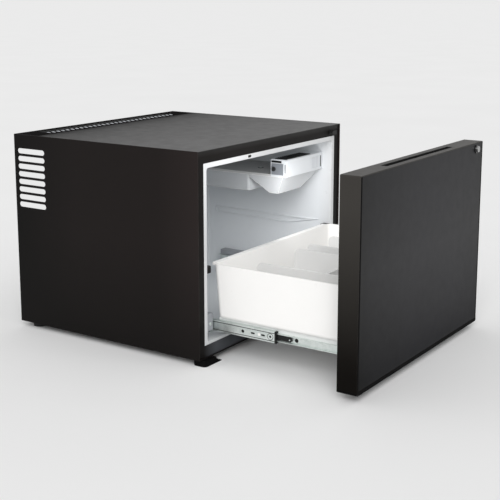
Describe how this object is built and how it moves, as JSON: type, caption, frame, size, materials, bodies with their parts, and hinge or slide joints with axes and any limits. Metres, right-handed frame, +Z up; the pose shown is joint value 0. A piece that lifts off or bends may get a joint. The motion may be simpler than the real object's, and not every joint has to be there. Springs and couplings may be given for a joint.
{
  "type": "drawer minibar fridge",
  "caption": "Black box-shaped hotel minibar fridge with a thick pull-out drawer front, a white bin with dividers on telescopic rails, side air slots and an absorption unit behind.",
  "frame": {"origin": "on the floor, at the middle of the whole box with the drawer pulled out", "axes": "+X to the right seen from the front, +Y from the drawer front to the back, +Z up"},
  "size_m": [0.56, 0.858, 0.435],
  "materials": {
    "cabinet_black": "satin",
    "black_plastic": "matte",
    "front_skin": "satin",
    "front_band": "satin",
    "liner_white": "satin",
    "bin_white": "satin",
    "carrier_white": "satin",
    "foam": "matte",
    "zinc_steel": "satin",
    "bracket_grey": "satin",
    "ball_steel": "polished",
    "dial_grey": "satin",
    "dial_dark": "satin",
    "lens": "gloss",
    "evaporator_dark": "matte",
    "fin_aluminium": "satin",
    "clear_plastic": "gloss",
    "gasket": "matte",
    "lock_ring": "gloss",
    "lock_face": "polished",
    "unit_black": "satin"
  },
  "bodies": {
    "cabinet": {"side_panel_left": "cabinet_black", "side_panel_right": "cabinet_black", "top_panel": "cabinet_black", "top_grille": "black_plastic", "base_plate": "cabinet_black", "front_frame": "black_plastic", "inner_liner": "liner_white", "insulation_foam": "foam", "rear_bulkhead": "zinc_steel", "door_sensor": "black_plastic", "lock_keeper": "black_plastic", "front_feet": "black_plastic", "rear_feet": "black_plastic", "lamp_housing": "liner_white", "lamp_lens": "lens", "lamp_louvre": "black_plastic", "thermostat_plate": "dial_grey", "evaporator_plate": "evaporator_dark", "evaporator_fins": "fin_aluminium", "evaporator_block": "fin_aluminium", "drip_tray": "clear_plastic", "rail_brackets": "bracket_grey", "side_bumpers": "black_plastic", "cabinet_screws": "zinc_steel", "rail_outer": "zinc_steel", "boiler_casing": "unit_black", "absorber_vessel": "unit_black", "absorber_coil": "unit_black", "condenser_tube": "unit_black", "condenser_fins": "fin_aluminium", "unit_mounts": "zinc_steel", "control_box": "black_plastic", "mains_inlet": "black_plastic"},
    "drawer": {"front_skin": "front_skin", "front_band": "front_band", "front_foam": "foam", "front_liner": "liner_white", "bottom_trim": "black_plastic", "handle_cup": "black_plastic", "gasket": "gasket", "lock_barrel": "lock_ring", "drawer_bin": "bin_white", "long_dividers": "bin_white", "cross_dividers": "bin_white", "bin_carriers": "carrier_white", "drawer_screws": "zinc_steel", "rail_inner": "zinc_steel"},
    "lock": {"lock_plug": "lock_face", "lock_cam": "zinc_steel"},
    "thermostat": {"thermostat_dial": "dial_dark"},
    "rail_left": {"rail_middle_left": "zinc_steel", "rail_cap_left": "black_plastic"},
    "cage_outer_left": {"ball_cage_outer_left": "ball_steel"},
    "cage_inner_left": {"ball_cage_inner_left": "ball_steel"},
    "lever_left": {"release_lever_left": "black_plastic"},
    "rail_right": {"rail_middle_right": "zinc_steel", "rail_cap_right": "black_plastic"},
    "cage_outer_right": {"ball_cage_outer_right": "ball_steel"},
    "cage_inner_right": {"ball_cage_inner_right": "ball_steel"},
    "lever_right": {"release_lever_right": "black_plastic"}
  },
  "joints": [
    {"name": "drawer_slide", "type": "slide", "parent": "cabinet", "child": "drawer", "axis": [0, -1, 0], "range_m": [-0.304, 0]},
    {"name": "lock_turn", "type": "hinge", "parent": "drawer", "child": "lock", "pos_m": [0.244, -0.423, 0.407], "axis": [0, -1, 0], "range_deg": [0, 90]},
    {"name": "thermostat_turn", "type": "hinge", "parent": "cabinet", "child": "thermostat", "pos_m": [0.087, -0.0082, 0.3475], "axis": [-1, 0, 0], "range_deg": [-135, 135]},
    {"name": "rail_left_slide", "type": "slide", "parent": "cabinet", "child": "rail_left", "axis": [0, -1, 0], "range_m": [-0.152, 0]},
    {"name": "cage_outer_left_slide", "type": "slide", "parent": "cabinet", "child": "cage_outer_left", "axis": [0, -1, 0], "range_m": [-0.076, 0]},
    {"name": "cage_inner_left_slide", "type": "slide", "parent": "cabinet", "child": "cage_inner_left", "axis": [0, -1, 0], "range_m": [-0.228, 0]},
    {"name": "lever_left_press", "type": "hinge", "parent": "drawer", "child": "lever_left", "pos_m": [-0.22, -0.2438, 0.074], "axis": [1, 0, 0], "range_deg": [-3, 3], "stiffness_Nm_per_rad": 0.05},
    {"name": "rail_right_slide", "type": "slide", "parent": "cabinet", "child": "rail_right", "axis": [0, -1, 0], "range_m": [-0.152, 0]},
    {"name": "cage_outer_right_slide", "type": "slide", "parent": "cabinet", "child": "cage_outer_right", "axis": [0, -1, 0], "range_m": [-0.076, 0]},
    {"name": "cage_inner_right_slide", "type": "slide", "parent": "cabinet", "child": "cage_inner_right", "axis": [0, -1, 0], "range_m": [-0.228, 0]},
    {"name": "lever_right_press", "type": "hinge", "parent": "drawer", "child": "lever_right", "pos_m": [0.22, -0.2438, 0.074], "axis": [1, 0, 0], "range_deg": [-3, 3], "stiffness_Nm_per_rad": 0.05}
  ],
  "couplings": [
    {"joint": "rail_left_slide", "follows": "drawer_slide", "ratio": 0.5},
    {"joint": "cage_outer_left_slide", "follows": "drawer_slide", "ratio": 0.25},
    {"joint": "cage_inner_left_slide", "follows": "drawer_slide", "ratio": 0.75},
    {"joint": "rail_right_slide", "follows": "drawer_slide", "ratio": 0.5},
    {"joint": "cage_outer_right_slide", "follows": "drawer_slide", "ratio": 0.25},
    {"joint": "cage_inner_right_slide", "follows": "drawer_slide", "ratio": 0.75}
  ]
}
